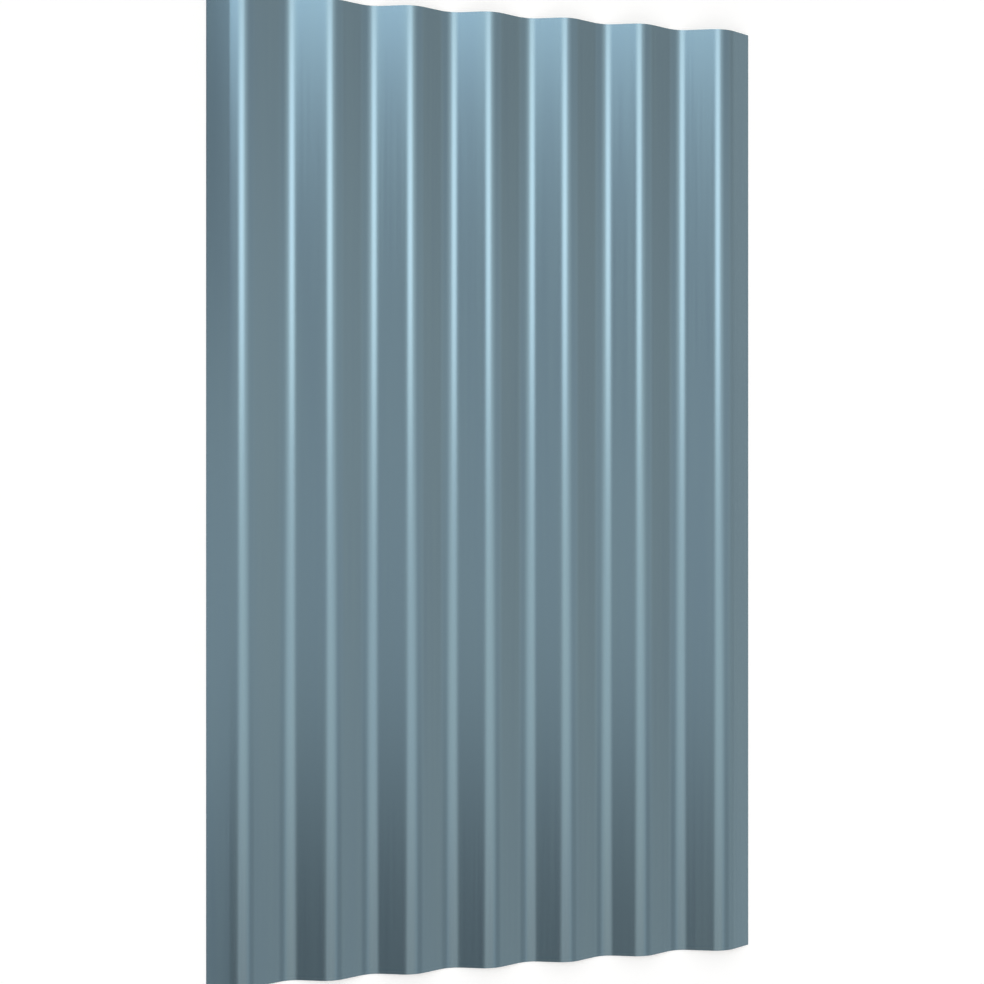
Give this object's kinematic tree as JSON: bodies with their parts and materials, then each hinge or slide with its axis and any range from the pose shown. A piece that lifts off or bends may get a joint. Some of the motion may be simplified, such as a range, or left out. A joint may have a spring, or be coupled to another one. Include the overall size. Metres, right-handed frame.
{
  "type": "corrugated metal sheet",
  "caption": "Thin steel sheet with a blue-grey coat, roll-formed into round waves along its length, for roofs, walls and fences.",
  "frame": {"origin": "centre of the sheet's bounding box, on the plane that the valleys stand on", "axes": "+Y along the waves, +X across them, +Z out of the coated face"},
  "size_m": [1.1816, 2, 0.0305],
  "materials": {
    "coated_steel": "satin blue-grey organic coat over galvanised steel"
  },
  "bodies": {
    "root": {"corrugated_sheet": "coated_steel"}
  },
  "joints": []
}
